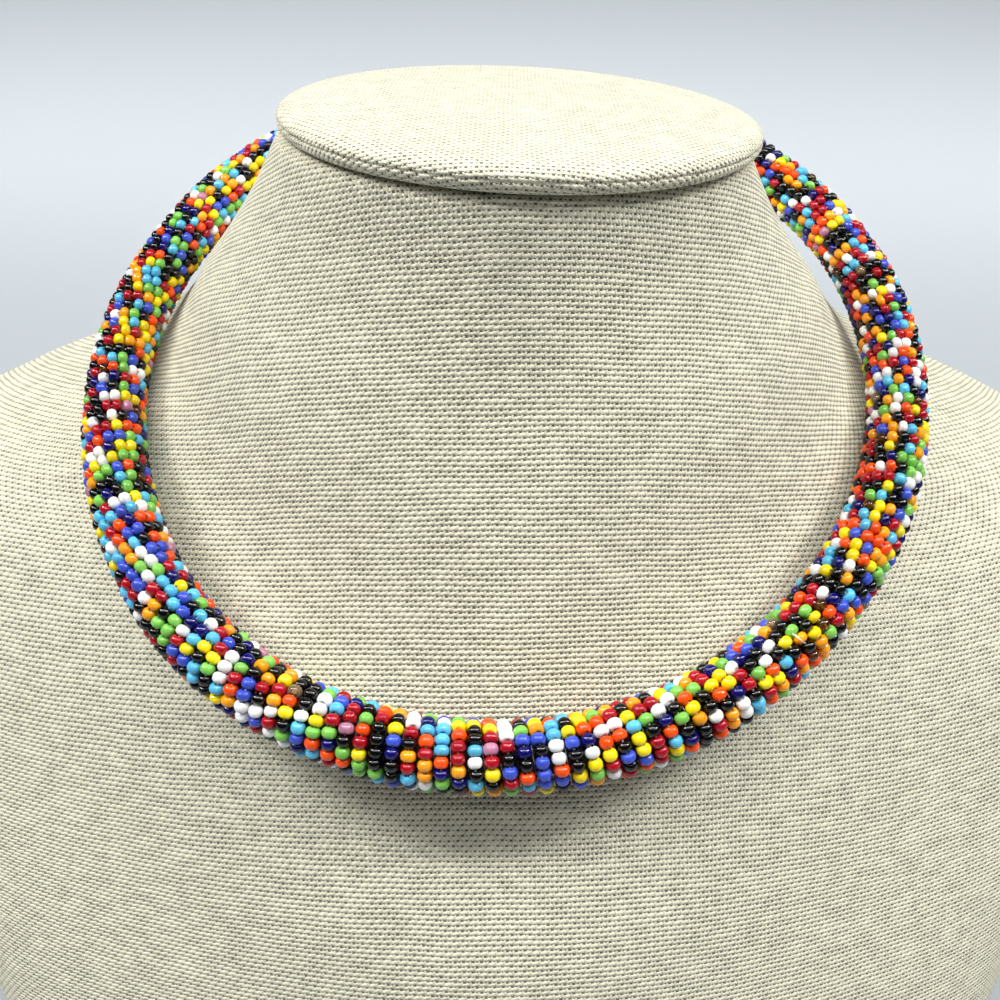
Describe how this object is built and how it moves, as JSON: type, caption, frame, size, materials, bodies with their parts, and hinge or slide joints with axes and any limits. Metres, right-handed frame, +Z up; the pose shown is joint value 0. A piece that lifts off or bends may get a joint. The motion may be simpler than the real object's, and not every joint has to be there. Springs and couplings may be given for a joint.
{
  "type": "beaded collar necklace on a neck bust",
  "caption": "Thick round rope of small glossy glass beads in mixed colours, worn as a collar on a linen-covered neck bust with a flat round cap.",
  "frame": {"origin": "on the surface the bust stands on, below the middle of the whole outline", "axes": "+Z up, the chest and the bottom of the collar face -Y, +X to the right of someone who looks at the chest"},
  "size_m": [0.277, 0.186, 0.1934],
  "materials": {
    "linen": "plain woven oatmeal linen, pulled tight over the form",
    "cap_linen": "plain woven pale linen, glued over the cap",
    "core_cord": "soft twisted cotton cord",
    "glass_beads": "glossy opaque glass seed beads in mixed colours, set round by round",
    "clasp_metal": "satin silver-coloured metal"
  },
  "bodies": {
    "root": {"bust_form": "linen", "neck_cap": "cap_linen", "rope_core": "core_cord", "bead_rope": "glass_beads", "clasp": "clasp_metal"}
  },
  "joints": []
}
